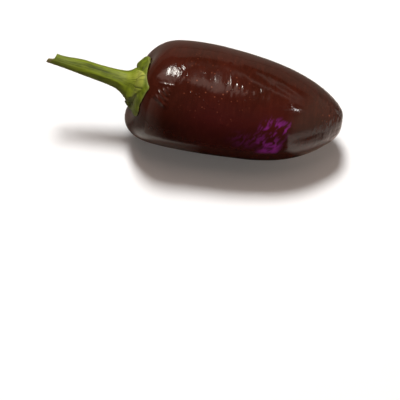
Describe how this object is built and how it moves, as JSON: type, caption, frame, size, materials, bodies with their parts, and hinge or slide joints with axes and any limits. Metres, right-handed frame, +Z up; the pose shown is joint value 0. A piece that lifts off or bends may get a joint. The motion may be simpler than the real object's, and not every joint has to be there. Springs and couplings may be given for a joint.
{
  "type": "chilli pepper",
  "caption": "Stout dark purple-brown chilli pepper as picked, lying on its side, with a green calyx on its shoulder and a cut stalk.",
  "frame": {"origin": "middle of the footprint of the whole pepper, on the surface it lies on", "axes": "+X from the cut stalk to the tip of the pod, +Y across the pod and away from the viewer, +Z up"},
  "size_m": [0.0892, 0.0336, 0.0324],
  "materials": {
    "plum_skin": "gloss",
    "green_calyx": "satin",
    "green_stalk": "satin"
  },
  "bodies": {
    "root": {"pod": "plum_skin", "calyx": "green_calyx", "pedicel": "green_stalk"}
  },
  "joints": []
}
